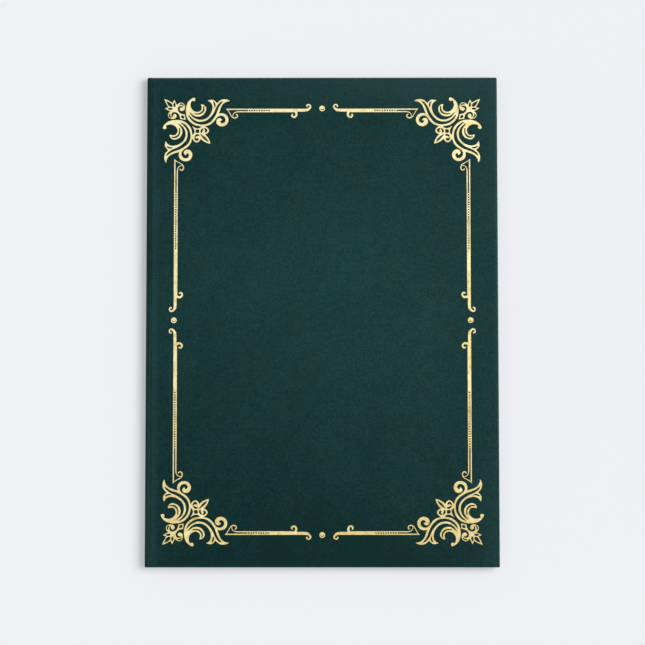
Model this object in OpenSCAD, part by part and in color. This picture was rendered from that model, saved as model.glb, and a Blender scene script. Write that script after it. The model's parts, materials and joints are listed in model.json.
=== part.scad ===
// Certificate holder for one A4 sheet: two covered boards joined by a soft rolled spine.
// It lies closed on its back cover, with the spine on the left and the front cover on top.
// Millimetres. The origin is on the surface that it lies on, under the middle of the cover.

/* [Cover] */
// Width of the closed cover, from the spine to the opening edge
cover_w = 230; // [222:1:260]
// Height of the cover, from its bottom edge to its top edge
cover_h = 320; // [308:1:350]
// Thickness of each cover board
board_t = 2; // [1.5:0.1:4]
// Thickness of the covering material
wrap_t = 0.4; // [0.3:0.05:0.6]
// Height of the space between the two panels when the cover is closed
content_gap = 0.8; // [0.6:0.1:4]
// Radius of the outer corners, seen from the front
corner_r = 1.2; // [0.8:0.1:4]
// Radius of the rounded edges of each cover
edge_r = 0.9; // [0.7:0.05:1.1]
// Width of covering that is turned in over the edges of the boards
turn_in = 15; // [10:0.5:25]

/* [Spine] */
// Outer radius of the two soft bends between the spine and the covers
bend_r = 2.8; // [2.6:0.1:3.4]
// Thickness of the card strip that stiffens the spine
inlay_t = 0.8; // [0.5:0.1:0.9]
// Thickness of the lining inside the bends and the spine
lining_t = 0.3; // [0.2:0.05:0.4]

/* [Panels] */
// Width of turned-in covering that shows round each panel
panel_margin = 5; // [4:0.5:8]
// Thickness of the card inside each panel
core_t = 0.6; // [0.6:0.1:1]
// Thickness of the cloth that covers each panel
cloth_t = 0.2; // [0.1:0.05:0.3]

/* [Ribbons] */
// Width of the four corner ribbons
ribbon_w = 10; // [6:1:16]
// Thickness of the ribbon
ribbon_t = 0.3; // [0.2:0.05:0.4]
// Distance from a panel's corner to the middle of the ribbon, along the panel's edge
ribbon_reach = 46; // [30:1:60]
// Length of ribbon that is folded under the panel and glued
ribbon_tail = 8; // [5:1:9]

/* [Corner flourishes] */
// Width of each corner flourish
flourish_w = 44; // [38:0.5:46]
// Height of each corner flourish
flourish_h = 43; // [38:0.5:50]
// Distance from the side edge of the cover to a flourish
flourish_side = 11; // [8:0.5:13]
// Distance from the top or bottom edge of the cover to a flourish
flourish_end = 13.9; // [10:0.5:18]

/* [Edge rules] */
// Width of the two lines of a rule together
rule_w = 2.6; // [2.4:0.1:3]
// Width of the plain band between the two curls of a rule
band_w = 2.2; // [1.8:0.1:2.4]
// Width of each line of a rule
line_w = 1; // [0.7:0.05:1.1]
// Distance from the top or bottom edge of the cover to its rule
rule_end = 20.4; // [18:0.2:24]
// Distance from the side edge of the cover to its rule
rule_side = 17.8; // [16:0.2:22]
// Distance from the middle of the top edge to the end of each rule there
top_stop = 6.9; // [6.5:0.1:9]
// Distance from the middle of the side edge to the end of each rule there
side_stop = 5.1; // [5:0.1:8]
// Width of the scroll that starts each rule
scroll_w = 8; // [7:0.5:9]
// Width of the small curls of each rule
curl_w = 5; // [4.4:0.1:5.4]
// Distance from the end of a rule to its inner curl
curl_back = 11.6; // [10.5:0.1:14]
// Distance between the beads of a rule
bead_pitch = 1.6; // [1.4:0.1:2]
// Width of the gap between two beads
bead_gap = 0.8; // [0.6:0.05:1]
// Diameter of the four dots
dot_d = 4.2; // [3:0.1:5]

/* [Hidden] */

wrap_colour = "#1f3d3c";
lining_colour = "#274a47";
board_colour = "#8c8579";
cloth_colour = "#efe6cf";
ribbon_colour = "#e8dcb8";
foil_colour = "#e6c98c";

$fn = 48;
overrun = 1;
// Points on each stretch of a smooth outline between two given points
smooth_steps = 3;

// Thickness of the foil, how far it spreads past the die, and how far the cuts in it open up
foil_t = 0.05;
foil_spread = 0.02;
cut_spread = 0.12;
// Radius of a board's edges inside the covering
board_edge_r = edge_r - wrap_t;

panel_t = core_t + cloth_t;
panel_z = 2 * wrap_t + board_t;
cover_t = 2 * (panel_z + panel_t) + content_gap;
board_z = wrap_t;
turn_z = wrap_t + board_t;
spine_x = -cover_w / 2;
fore_x = cover_w / 2;
hinge_x = spine_x + bend_r;
panel_x0 = hinge_x + panel_margin;
panel_x1 = fore_x - panel_margin;
panel_y = cover_h / 2 - panel_margin;

// Half of a corner flourish, as shares of its width and height from its outer corner. The
// other half is its mirror image about the diagonal. Each row is one smooth stretch, and the
// outline turns a sharp corner where two rows meet.
scroll_shares = [
    [[0.471, 0.005], [0.464, -0.013], [0.448, -0.021], [0.400, 0.002], [0.355, 0.050],
     [0.330, 0.115], [0.322, 0.190], [0.334, 0.270], [0.370, 0.338], [0.435, 0.395], [0.475, 0.413],
     [0.550, 0.427], [0.600, 0.426], [0.680, 0.406], [0.737, 0.364], [0.792, 0.293], [0.832, 0.266],
     [0.878, 0.270], [0.912, 0.305], [0.911, 0.349], [0.878, 0.373], [0.858, 0.368], [0.843, 0.346],
     [0.874, 0.334]],
    [[0.874, 0.334], [0.864, 0.312], [0.830, 0.294], [0.797, 0.308], [0.780, 0.345], [0.787, 0.385],
     [0.822, 0.418], [0.873, 0.429], [0.930, 0.406], [0.962, 0.357], [0.962, 0.294], [0.930, 0.243],
     [0.878, 0.220], [0.825, 0.224]],
    [[0.825, 0.224], [0.859, 0.124], [0.893, 0.075], [0.944, 0.046], [0.992, 0.041]],
    [[0.992, 0.041], [0.980, 0.026], [0.935, 0.006], [0.875, 0.006], [0.827, 0.029], [0.790, 0.064]],
    [[0.790, 0.064], [0.775, 0.043], [0.738, 0.016], [0.713, 0.012], [0.665, 0.020], [0.650, 0.028]],
    [[0.650, 0.028], [0.663, 0.039], [0.680, 0.047], [0.709, 0.079], [0.721, 0.125], [0.716, 0.173],
     [0.694, 0.231], [0.650, 0.284], [0.588, 0.316], [0.518, 0.318], [0.460, 0.298], [0.420, 0.265],
     [0.382, 0.210]],
    [[0.382, 0.210], [0.440, 0.257], [0.480, 0.275], [0.530, 0.276], [0.585, 0.252], [0.622, 0.202],
     [0.633, 0.146], [0.610, 0.104], [0.573, 0.083], [0.545, 0.090]],
    [[0.545, 0.090], [0.559, 0.122], [0.556, 0.162], [0.542, 0.182], [0.498, 0.200], [0.450, 0.186],
     [0.413, 0.148], [0.398, 0.096], [0.408, 0.048], [0.421, 0.031]],
    [[0.421, 0.031], [0.445, 0.041], [0.460, 0.034], [0.470, 0.018], [0.471, 0.005]]];
// The slit between the two outer bands of the flourish
slit_shares = [
    [[0.870, 0.045], [0.840, 0.060], [0.794, 0.120], [0.736, 0.240], [0.643, 0.336], [0.540, 0.361],
     [0.475, 0.345], [0.420, 0.309], [0.373, 0.262]],
    [[0.373, 0.262], [0.385, 0.288], [0.420, 0.331], [0.475, 0.370], [0.540, 0.390], [0.610, 0.389],
     [0.673, 0.365], [0.722, 0.320], [0.772, 0.240], [0.818, 0.120], [0.870, 0.045]]];
// Engraved lines of the flourish: along, down, width
hook_line_shares = [[0.592, 0.118, 0.003], [0.595, 0.150, 0.008], [0.588, 0.183, 0.013],
    [0.567, 0.211, 0.012], [0.535, 0.229, 0.008], [0.500, 0.235, 0.005], [0.460, 0.231, 0.003]];
leaf_line_shares = [[0.738, 0.050, 0.003], [0.751, 0.070, 0.010], [0.758, 0.092, 0.011],
    [0.758, 0.122, 0.003]];
// Half of the pointed leaf, side leaf, scroll and square that stand at the cover's corner
outer_shares = [
    [[-0.002, -0.002], [0.060, 0.022], [0.129, 0.060]],
    [[0.129, 0.060], [0.148, 0.012], [0.158, 0.020], [0.194, 0.089]],
    [[0.194, 0.089], [0.225, 0.063], [0.265, 0.056], [0.302, 0.082], [0.315, 0.130], [0.300, 0.175],
     [0.263, 0.192], [0.233, 0.172], [0.229, 0.156], [0.249, 0.132], [0.281, 0.129]],
    [[0.281, 0.129], [0.265, 0.115], [0.227, 0.118], [0.207, 0.150], [0.218, 0.192], [0.250, 0.224],
     [0.316, 0.241]],
    [[0.316, 0.241], [0.319, 0.280], [0.328, 0.328]]];
outer_line_shares = [[0.236, 0.084, 0.003], [0.256, 0.081, 0.009], [0.275, 0.088, 0.008],
    [0.288, 0.104, 0.003]];
side_leaf_line_shares = [[0.152, 0.064, 0.003], [0.154, 0.080, 0.017], [0.155, 0.094, 0.021],
    [0.156, 0.108, 0.017], [0.157, 0.123, 0.003]];
outer_leaf_shares = [
    [[0.044, 0.044], [0.100, 0.072], [0.120, 0.104], [0.118, 0.118]]];
outer_square_shares = [
    [[0.262, 0.262], [0.284, 0.264], [0.297, 0.280], [0.296, 0.296]]];
// Half of the point, square, scroll and leaf that stand on the inner side
inner_shares = [
    [[0.408, 0.408], [0.480, 0.450], [0.528, 0.450], [0.556, 0.424]],
    [[0.556, 0.424], [0.590, 0.405], [0.624, 0.424]],
    [[0.624, 0.424], [0.662, 0.456], [0.677, 0.496], [0.655, 0.533], [0.623, 0.550]],
    [[0.623, 0.550], [0.660, 0.596], [0.686, 0.650], [0.698, 0.698]]];
inner_left_line_shares = [[0.583, 0.466, 0.004], [0.568, 0.480, 0.014], [0.561, 0.499, 0.018],
    [0.562, 0.520, 0.010]];
inner_right_line_shares = [[0.604, 0.460, 0.004], [0.622, 0.470, 0.014], [0.632, 0.485, 0.022],
    [0.627, 0.500, 0.020], [0.615, 0.511, 0.006]];
inner_leaf_shares = [
    [[0.557, 0.557], [0.624, 0.609], [0.656, 0.656]]];
inner_square_shares = [[[0.481, 0.481], [0.519, 0.481], [0.519, 0.519]]];

// Strokes of the edge rules: along, inward, width, as shares of the scroll or curl
start_shares = [[0.010, 0.020, 0.010], [0.180, 0.130, 0.090], [0.310, 0.330, 0.095],
    [0.430, 0.550, 0.100], [0.560, 0.710, 0.110], [0.760, 0.780, 0.125], [0.935, 0.710, 0.125],
    [0.975, 0.575, 0.125], [0.900, 0.485, 0.110], [0.820, 0.505, 0.060]];
join_shares = [[1.350, 0.262, 0.125], [1.050, 0.265, 0.120], [0.800, 0.315, 0.105],
    [0.650, 0.440, 0.090], [0.600, 0.600, 0.080], [0.640, 0.720, 0.060]];
inner_curl_shares = [[0.180, 0.360, 0.400], [0.300, 0.600, 0.360], [0.320, 0.840, 0.330],
    [0.220, 1.040, 0.300], [0.020, 1.140, 0.280], [-0.180, 1.080, 0.270], [-0.270, 0.920, 0.270],
    [-0.200, 0.790, 0.240], [-0.090, 0.790, 0.160]];
end_curl_shares = [[-0.820, 0.220, 0.440], [-0.560, 0.175, 0.400], [-0.320, 0.010, 0.320],
    [-0.160, -0.200, 0.280], [-0.200, -0.420, 0.240], [-0.380, -0.520, 0.220],
    [-0.560, -0.460, 0.250], [-0.610, -0.310, 0.270], [-0.520, -0.230, 0.160]];
// Where a rule starts beside its flourish, and the ring cut into each dot
rule_start_share = 0.92;
ring_share = 0.5;
ring_cut = 0.2;
// Where the beads of a rule begin, and the length of the row of beads
top_beads_from = 13.4;
top_beads_run = 16.2;
side_beads_from = 21.8;
side_beads_run = 38.6;
// Distance from the cover's edges to the middle of the dots
dot_end = 20.4;
dot_side = 18.1;

// A point of a smooth curve through points p, between points i and i + 1
function on_curve(p, i, t) =
    let (last = len(p) - 1, a = p[max(i - 1, 0)], b = p[i], c = p[i + 1], d = p[min(i + 2, last)])
    0.5 * (2 * b + (c - a) * t + (2 * a - 5 * b + 4 * c - d) * t * t
        + (3 * b - a - 3 * c + d) * t * t * t);
function smooth(p) = [
    for (i = [0:len(p) - 2]) for (k = [0:smooth_steps - 1]) on_curve(p, i, k / smooth_steps),
    p[len(p) - 1]];
function outline(rows) = [for (row = rows) each smooth(row)];
function swapped(p) = [for (i = [len(p) - 1:-1:0]) [p[i].y, p[i].x]];
function sized(p) = [for (q = p) [q.x * flourish_w, q.y * flourish_h]];
function across(p, i) =
    let (d = p[min(i + 1, len(p) - 1)] - p[max(i - 1, 0)]) [-d.y, d.x] / norm([d.x, d.y]);
function stroke_points(c) = concat(
    [for (i = [0:len(c) - 1]) [c[i].x, c[i].y] + across(c, i) * c[i].z / 2],
    [for (i = [len(c) - 1:-1:0]) [c[i].x, c[i].y] - across(c, i) * c[i].z / 2]);

// A tapered stroke along a smooth line
module stroke(shares, size) {
    polygon(stroke_points([for (q = smooth(shares)) q * size]));
}

// A closed shape of the flourish and its mirror image about the diagonal
module on_both_sides(rows) {
    polygon(sized(outline(rows)));
    polygon(sized(swapped(outline(rows))));
}

// A closed shape given by its half, from one point of the diagonal to another
module across_diagonal(rows) {
    polygon(sized(concat(outline(rows), swapped(outline(rows)))));
}

// An engraved line of the flourish and its mirror image
module engraved(shares) {
    polygon(stroke_points([for (q = smooth(shares))
        [q.x * flourish_w, q.y * flourish_h, q.z * flourish_w]]));
    polygon(stroke_points([for (q = smooth(shares))
        [q.y * flourish_w, q.x * flourish_h, q.z * flourish_w]]));
}

// A whole corner flourish, with its outer corner at the origin
module flourish_shape() {
    difference() {
        offset(delta = foil_spread) {
            on_both_sides(scroll_shares);
            across_diagonal(inner_shares);
            across_diagonal(outer_shares);
        }
        offset(delta = cut_spread) {
            on_both_sides(slit_shares);
            engraved(hook_line_shares);
            engraved(leaf_line_shares);
            engraved(outer_line_shares);
            engraved(side_leaf_line_shares);
            engraved(inner_left_line_shares);
            engraved(inner_right_line_shares);
            across_diagonal(outer_leaf_shares);
            across_diagonal(outer_square_shares);
            across_diagonal(inner_leaf_shares);
            across_diagonal(inner_square_shares);
        }
    }
}

// One rule along X from its pointed start at the origin, with +Y towards the middle of the cover
module rule_shape(length, beads_from, beads_run) {
    gap_w = rule_w - 2 * line_w;
    curl_x = length - curl_back;
    join_x = join_shares[0].x * scroll_w;
    bead_count = floor(beads_run / bead_pitch);
    offset(delta = foil_spread) difference() {
        union() {
            polygon([[0, 0], [curl_x, 0], [curl_x, line_w], [line_w, line_w]]);
            translate([join_x, rule_w - line_w]) square([curl_x - join_x, line_w]);
            translate([beads_from, 0]) square([curl_x - beads_from, rule_w]);
            translate([curl_x, 0])
                square([curl_back + end_curl_shares[0].x * curl_w, band_w]);
            stroke(start_shares, scroll_w);
            stroke(join_shares, scroll_w);
            translate([curl_x, 0]) stroke(inner_curl_shares, curl_w);
            translate([length, 0]) stroke(end_curl_shares, curl_w);
        }
        for (i = [0:bead_count - 1])
            translate([beads_from + (i + 0.5) * bead_pitch - bead_gap / 2, line_w])
                square([bead_gap, gap_w]);
    }
}

module dot_shape() {
    offset(delta = foil_spread) difference() {
        circle(d = dot_d);
        difference() {
            circle(d = ring_share * dot_d + ring_cut);
            circle(d = ring_share * dot_d - ring_cut);
        }
    }
}

// Foil in one corner of the front cover: sx is -1 at the spine, sy is 1 at the top. The
// shape starts at the cover's corner and runs towards the middle along +X and +Y.
module foil_in_corner(sx, sy) {
    color(foil_colour) translate([sx * cover_w / 2, sy * cover_h / 2, cover_t])
        mirror([sx > 0 ? 1 : 0, 0, 0]) mirror([0, sy > 0 ? 1 : 0, 0])
            linear_extrude(foil_t) children();
}

module flourish(sx, sy) {
    foil_in_corner(sx, sy) translate([flourish_side, flourish_end]) flourish_shape();
}

module end_rule(sx, sy) {
    start = flourish_side + rule_start_share * flourish_w;
    foil_in_corner(sx, sy) translate([start, rule_end])
        rule_shape(cover_w / 2 - top_stop - start, top_beads_from, top_beads_run);
}

module side_rule(sx, sy) {
    start = flourish_end + rule_start_share * flourish_h;
    foil_in_corner(sx, sy) translate([rule_side, start]) mirror([1, -1, 0])
        rule_shape(cover_h / 2 - side_stop - start, side_beads_from, side_beads_run);
}

module foil_dot(x, y) {
    color(foil_colour) translate([x, y, cover_t]) linear_extrude(foil_t) dot_shape();
}

module rounded_rectangle(x0, x1, y0, y1, r) {
    translate([x0 + r, y0]) square([x1 - x0 - 2 * r, y1 - y0]);
    translate([x0, y0 + r]) square([x1 - x0, y1 - y0 - 2 * r]);
    for (x = [x0 + r, x1 - r], y = [y0 + r, y1 - r]) translate([x, y]) circle(r);
}

// A flat slab from the hinge to the opening edge, rounded on its three free sides
module rounded_slab(x1, y1, z0, z1, plan_r, side_r) {
    x0 = hinge_x - 2 * overrun;
    long = 2 * (y1 + overrun);
    intersection() {
        translate([0, 0, z0 - overrun]) linear_extrude(z1 - z0 + 2 * overrun)
            rounded_rectangle(x0, x1, -y1, y1, plan_r);
        rotate([90, 0, 0]) linear_extrude(long, center = true)
            rounded_rectangle(x0, x1, z0, z1, side_r);
        translate([x0, 0, 0]) rotate([90, 0, 90]) linear_extrude(x1 - x0 + overrun)
            rounded_rectangle(-y1, y1, z0, z1, side_r);
        translate([hinge_x, -y1 - overrun, z0 - overrun])
            cube([x1 - hinge_x + overrun, long, z1 - z0 + 2 * overrun]);
    }
}

// The front cover is the back cover turned over
module turned_over() {
    translate([0, 0, cover_t]) mirror([0, 0, 1]) children();
}

module board() {
    color(board_colour)
        rounded_slab(fore_x - wrap_t, cover_h / 2 - wrap_t, board_z, turn_z,
            corner_r - wrap_t, board_edge_r);
}

// Covering on the outside of a board, turned in over its three free edges
module covering() {
    window_z = board_z + board_t / 2;
    color(wrap_colour) difference() {
        rounded_slab(fore_x, cover_h / 2, 0, panel_z, corner_r, edge_r);
        board();
        translate([hinge_x - overrun, turn_in - cover_h / 2, window_z])
            cube([fore_x - turn_in - hinge_x + overrun, cover_h - 2 * turn_in, panel_z]);
    }
}

module gutter_strip() {
    color(wrap_colour) translate([hinge_x, turn_in - cover_h / 2, turn_z])
        cube([turn_in, cover_h - 2 * turn_in, wrap_t]);
}

// A panel's box, drawn in by some distance on its sides and its top
module panel_box(inset, bottom = 0) {
    translate([panel_x0 + inset, inset - panel_y, panel_z + bottom])
        cube([panel_x1 - panel_x0 - 2 * inset, 2 * (panel_y - inset),
            panel_t - inset - bottom]);
}

module panel_core() {
    color(board_colour) panel_box(cloth_t);
}

module panel_cloth() {
    color(cloth_colour) difference() {
        panel_box(0);
        panel_box(cloth_t, -overrun);
    }
}

// A ribbon across one corner of the back panel, folded round its edges and under it
module ribbon(sx, sy) {
    corner_x = sx < 0 ? panel_x0 : panel_x1;
    reach = ribbon_reach / sqrt(2);
    long = 3 * ribbon_reach;
    color(ribbon_colour) difference() {
        intersection() {
            panel_box(-ribbon_t);
            translate([corner_x, sy * panel_y, panel_z]) rotate([0, 0, atan2(-sy, -sx)])
                translate([reach - ribbon_w / 2, -long / 2, 0])
                    cube([ribbon_w, long, panel_t + ribbon_t]);
        }
        panel_box(0, ribbon_t);
        translate([panel_x0 + ribbon_tail, ribbon_tail - panel_y, panel_z - overrun])
            cube([panel_x1 - panel_x0 - 2 * ribbon_tail, 2 * (panel_y - ribbon_tail),
                ribbon_t + overrun]);
    }
}

module all_ribbons() {
    for (sx = [-1, 1], sy = [-1, 1]) ribbon(sx, sy);
}

// A quarter of a ring in the bend beside the back cover, seen from the bottom edge
module bend_section(outer_r, t) {
    translate([hinge_x, bend_r]) intersection() {
        difference() {
            circle(outer_r);
            circle(outer_r - t);
        }
        translate([-outer_r, -outer_r]) square(outer_r);
    }
}

module joint_wrap() {
    color(wrap_colour) rotate([90, 0, 0]) linear_extrude(cover_h, center = true)
        bend_section(bend_r, wrap_t);
}

// The lining runs down the edge of the board and round the inside of the bend
module joint_lining() {
    color(lining_colour) rotate([90, 0, 0])
        linear_extrude(cover_h - 2 * wrap_t, center = true) {
            bend_section(bend_r - wrap_t, lining_t);
            translate([hinge_x - lining_t, wrap_t + lining_t / 2])
                square([lining_t, panel_z - wrap_t - lining_t / 2]);
        }
}

// A block in the spine, from one distance inside its outer face to another
module spine_block(x0, x1, end_inset, z_inset) {
    translate([spine_x + x0, end_inset - cover_h / 2, bend_r + z_inset])
        cube([x1 - x0, cover_h - 2 * end_inset, cover_t - 2 * (bend_r + z_inset)]);
}

module back_board() { board(); }
module back_wrap() { covering(); }
module back_gutter_strip() { gutter_strip(); }
module back_panel_core() {
    difference() {
        panel_core();
        all_ribbons();
    }
}
module back_panel_cloth() {
    difference() {
        panel_cloth();
        all_ribbons();
    }
}
module rear_joint_wrap() { joint_wrap(); }
module rear_joint_lining() { joint_lining(); }
module spine_wrap() {
    color(wrap_colour) difference() {
        spine_block(0, wrap_t + inlay_t, 0, 0);
        spine_block(wrap_t, wrap_t + inlay_t + overrun, wrap_t, -overrun);
    }
}
module spine_inlay() {
    color(board_colour) spine_block(wrap_t, wrap_t + inlay_t, wrap_t, lining_t);
}
module spine_lining() {
    color(lining_colour) difference() {
        spine_block(wrap_t, wrap_t + inlay_t + lining_t, wrap_t, 0);
        spine_block(wrap_t - overrun, wrap_t + inlay_t, wrap_t - overrun, lining_t);
    }
}
module front_joint_wrap() { turned_over() joint_wrap(); }
module front_joint_lining() { turned_over() joint_lining(); }
module front_board() { turned_over() board(); }
module front_wrap() { turned_over() covering(); }
module front_gutter_strip() { turned_over() gutter_strip(); }
module front_panel_core() { turned_over() panel_core(); }
module front_panel_cloth() { turned_over() panel_cloth(); }

back_board();
back_wrap();
back_gutter_strip();
back_panel_core();
back_panel_cloth();
ribbon(-1, 1);  // ribbon_top_left
ribbon(1, 1);  // ribbon_top_right
ribbon(-1, -1);  // ribbon_bottom_left
ribbon(1, -1);  // ribbon_bottom_right
rear_joint_wrap();
rear_joint_lining();
spine_wrap();
spine_inlay();
spine_lining();
front_joint_wrap();
front_joint_lining();
front_board();
front_wrap();
front_gutter_strip();
front_panel_core();
front_panel_cloth();
flourish(-1, 1);  // flourish_top_left
flourish(1, 1);  // flourish_top_right
flourish(-1, -1);  // flourish_bottom_left
flourish(1, -1);  // flourish_bottom_right
end_rule(-1, 1);  // rule_top_left
end_rule(1, 1);  // rule_top_right
end_rule(-1, -1);  // rule_bottom_left
end_rule(1, -1);  // rule_bottom_right
side_rule(-1, 1);  // rule_left_upper
side_rule(-1, -1);  // rule_left_lower
side_rule(1, 1);  // rule_right_upper
side_rule(1, -1);  // rule_right_lower
foil_dot(0, cover_h / 2 - dot_end);  // dot_top
foil_dot(0, dot_end - cover_h / 2);  // dot_bottom
foil_dot(spine_x + dot_side, 0);  // dot_left
foil_dot(fore_x - dot_side, 0);  // dot_right
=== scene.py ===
# Certificate holder in dark green leatherette with a gold foil border, lying closed.
# Metres, +Z up, the long side along Y, the spine on the left.
import json
import math
import bmesh
import bpy
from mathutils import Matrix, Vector
from mathutils.geometry import delaunay_2d_cdt


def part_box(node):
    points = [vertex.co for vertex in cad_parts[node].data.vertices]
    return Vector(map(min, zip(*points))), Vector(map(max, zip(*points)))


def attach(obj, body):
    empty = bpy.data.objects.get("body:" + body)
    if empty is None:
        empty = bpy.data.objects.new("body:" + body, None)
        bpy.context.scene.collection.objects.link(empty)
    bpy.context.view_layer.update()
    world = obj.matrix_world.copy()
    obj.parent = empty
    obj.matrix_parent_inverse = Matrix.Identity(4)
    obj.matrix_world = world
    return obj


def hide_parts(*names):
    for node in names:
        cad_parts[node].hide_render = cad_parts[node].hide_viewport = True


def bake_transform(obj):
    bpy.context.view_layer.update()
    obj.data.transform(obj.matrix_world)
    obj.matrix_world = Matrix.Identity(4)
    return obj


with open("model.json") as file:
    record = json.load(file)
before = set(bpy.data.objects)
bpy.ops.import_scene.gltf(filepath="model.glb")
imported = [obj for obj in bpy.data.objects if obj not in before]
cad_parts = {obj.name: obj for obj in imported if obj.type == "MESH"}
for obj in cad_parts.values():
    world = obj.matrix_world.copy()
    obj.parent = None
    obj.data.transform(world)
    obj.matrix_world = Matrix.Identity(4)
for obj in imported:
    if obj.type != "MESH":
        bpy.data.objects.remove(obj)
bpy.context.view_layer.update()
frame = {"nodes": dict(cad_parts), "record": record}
scene = bpy.context.scene
mm = 0.001
samePoint = 1e-7     # points closer than this are one
sameHeight = 1e-6    # and heights closer than this are level

# sizes that the pieces share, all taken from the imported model
coveringLow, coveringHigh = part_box("back_wrap")
panelLow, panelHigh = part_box("back_panel_cloth")
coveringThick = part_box("back_board")[0].z
clothThick = panelHigh.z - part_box("back_panel_core")[1].z
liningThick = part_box("spine_lining")[1].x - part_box("spine_inlay")[1].x
hingeX = coveringLow.x
openX = coveringHigh.x
endY = coveringHigh.y
insideZ = coveringHigh.z
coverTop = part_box("front_wrap")[1].z
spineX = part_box("spine_wrap")[0].x
bendRadius = hingeX - spineX


def addObject(name, data):
    made = bpy.data.objects.new(name, data)
    scene.collection.objects.link(made)
    return made


# camera, as the photograph was taken: almost straight above, a little towards the bottom edge
camera = {
    "place": (0.00443, -0.06566, 1.1),
    "angles": (3.369, 0.216, -0.02),    # tilt, turn and roll in degrees
    "sensorWidth": 36,
    "focalShare": 2.602,                # focal length as a share of the picture's width
}


def addCamera():
    data = bpy.data.cameras.new("camera")
    data.sensor_width = camera["sensorWidth"]
    data.lens = camera["sensorWidth"] * camera["focalShare"]
    view = addObject("camera", data)
    view.location = camera["place"]
    view.rotation_euler = [math.radians(angle) for angle in camera["angles"]]
    scene.camera = view


addCamera()
scene.view_settings.view_transform = "Standard"
print("camera made")


# links each input to the socket that is given for it, or writes the plain value
def setInputs(node, inputs):
    for name, value in inputs.items():
        if isinstance(value, bpy.types.NodeSocket):
            node.id_data.links.new(value, node.inputs[name])
        else:
            node.inputs[name].default_value = value


# adds a node to its inputs' tree, and gives its outputs
def addNode(kind, inputs, **settings):
    sockets = [value for value in inputs.values() if isinstance(value, bpy.types.NodeSocket)]
    node = sockets[0].id_data.nodes.new(kind)
    for name, value in settings.items():
        setattr(node, name, value)
    setInputs(node, inputs)
    return node.outputs


# one sum, product or the like of several values, taken from left to right
def addMaths(operation, first, *others):
    for other in others:
        first = addNode("ShaderNodeMath", {0: first, 1: other}, operation=operation)[0]
    return first


def absolute(value):
    return addNode("ShaderNodeMath", {0: value}, operation="ABSOLUTE")[0]


def add(*values):
    return addMaths("ADD", *values)


def subtract(*values):
    return addMaths("SUBTRACT", *values)


def multiply(*values):
    return addMaths("MULTIPLY", *values)


def addVectorMaths(operation, *values):
    made = addNode("ShaderNodeVectorMath", dict(enumerate(values)), operation=operation)
    return made["Value" if operation in ("LENGTH", "DOT_PRODUCT") else "Vector"]


def splitVector(vector):
    return addNode("ShaderNodeSeparateXYZ", {0: vector})[:]


def rgb(colour):
    return (*colour, 1)


# a mix node has its colours in sockets 6 and 7, and its plain values in sockets 2 and 3
def blendColours(share, first, second, mode="MIX"):
    first, second = [rgb(c) if isinstance(c, tuple) else c for c in (first, second)]
    return addNode("ShaderNodeMix", {0: share, 6: first, 7: second}, data_type="RGBA",
                   blend_type=mode)[2]


def blendValues(share, first, second):
    return addNode("ShaderNodeMix", {0: share, 2: first, 3: second})[0]


# limits are the two ends of the value's own range, and what it becomes at each of them
def stretch(value, limits, way="LINEAR"):
    inputs = dict(zip(("From Min", "From Max", "To Min", "To Max"), limits), Value=value)
    return addNode("ShaderNodeMapRange", inputs, interpolation_type=way)[0]


def noise(place, size, detail=2.0, roughness=0.5):
    inputs = {"Vector": place, "Scale": 1 / size, "Detail": detail, "Roughness": roughness}
    return addNode("ShaderNodeTexNoise", inputs)["Fac"]


# leather's rounded pebbles: 1 on their tops and 0 in the creases between them
def pebbles(place, size, smoothness=0.6, limits=(0.1, 0.75, 1, 0)):
    inputs = {"Vector": place, "Scale": 1 / size, "Smoothness": smoothness}
    distance = addNode("ShaderNodeTexVoronoi", inputs, feature="SMOOTH_F1")["Distance"]
    return stretch(distance, limits)


# even threads, from -1 between them to 1 on their tops
def threads(across, pitch):
    turns = multiply(across, math.tau / pitch)
    return addNode("ShaderNodeMath", {0: turns}, operation="SINE")[0]


# height is in metres, so the depth of a grain is its real depth
def bump(height, depth, below=None):
    inputs = {"Height": height, "Distance": depth, "Strength": 1.0}
    if below is not None:
        inputs["Normal"] = below
    return addNode("ShaderNodeBump", inputs)["Normal"]


def startMaterial(name):
    material = bpy.data.materials.new(name)
    material.use_nodes = True
    return material, material.node_tree.nodes.new("ShaderNodeTexCoord").outputs["Object"]


def finishMaterial(material, inputs):
    setInputs(material.node_tree.nodes["Principled BSDF"], inputs)
    return material


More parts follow.
